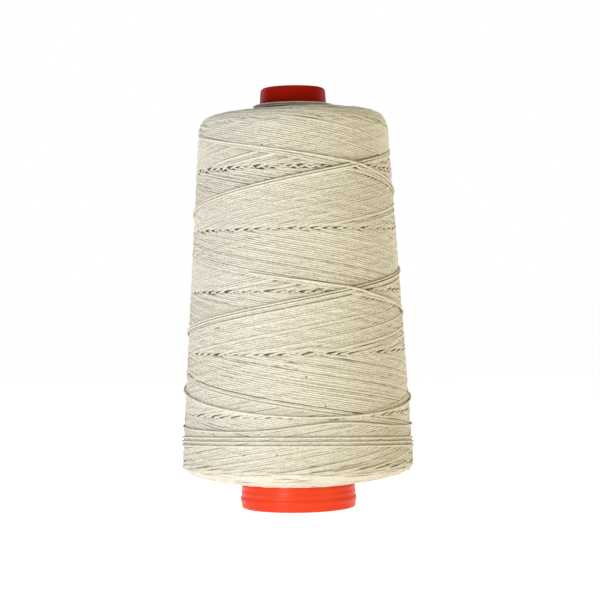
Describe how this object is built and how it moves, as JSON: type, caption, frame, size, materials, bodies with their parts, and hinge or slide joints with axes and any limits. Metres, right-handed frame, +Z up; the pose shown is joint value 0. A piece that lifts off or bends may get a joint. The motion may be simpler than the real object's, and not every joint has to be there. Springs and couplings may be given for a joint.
{
  "type": "cone-wound waxed thread spool",
  "caption": "Cross-wound cone of thick waxed thread on a one-piece tapered plastic core, with a slack last turn and free end that unwind round the axis.",
  "frame": {"origin": "centre of the core's base plane, on the axis", "axes": "+Z up the winding axis towards the small end (nose), -Y towards the front, where the slack turns sag, +X to the front's right"},
  "size_m": [0.0957, 0.0957, 0.17],
  "materials": {
    "core_plastic": "satin",
    "waxed_thread": "satin"
  },
  "bodies": {
    "wound_cone": {"cone_core": "core_plastic", "inner_windings": "waxed_thread", "middle_windings": "waxed_thread", "outer_windings": "waxed_thread", "nose_collar_turns": "waxed_thread", "raised_pair_upper": "waxed_thread", "raised_pair_middle": "waxed_thread", "crossing_thread_upper": "waxed_thread", "crossing_thread_middle": "waxed_thread", "low_turn_bundle": "waxed_thread", "slack_turn": "waxed_thread"},
    "last_turn": {"last_turn": "waxed_thread"},
    "free_end": {"free_end": "waxed_thread"}
  },
  "joints": [
    {"name": "pay_off", "type": "hinge", "parent": "wound_cone", "child": "last_turn", "pos_m": [0, 0, 0.05188], "axis": [0, 0, 1], "continuous": true},
    {"name": "free_end_swing", "type": "hinge", "parent": "last_turn", "child": "free_end", "pos_m": [0.02284, 0.03956, 0.05188], "axis": [0, 0, -1], "range_deg": [0, 80]}
  ]
}
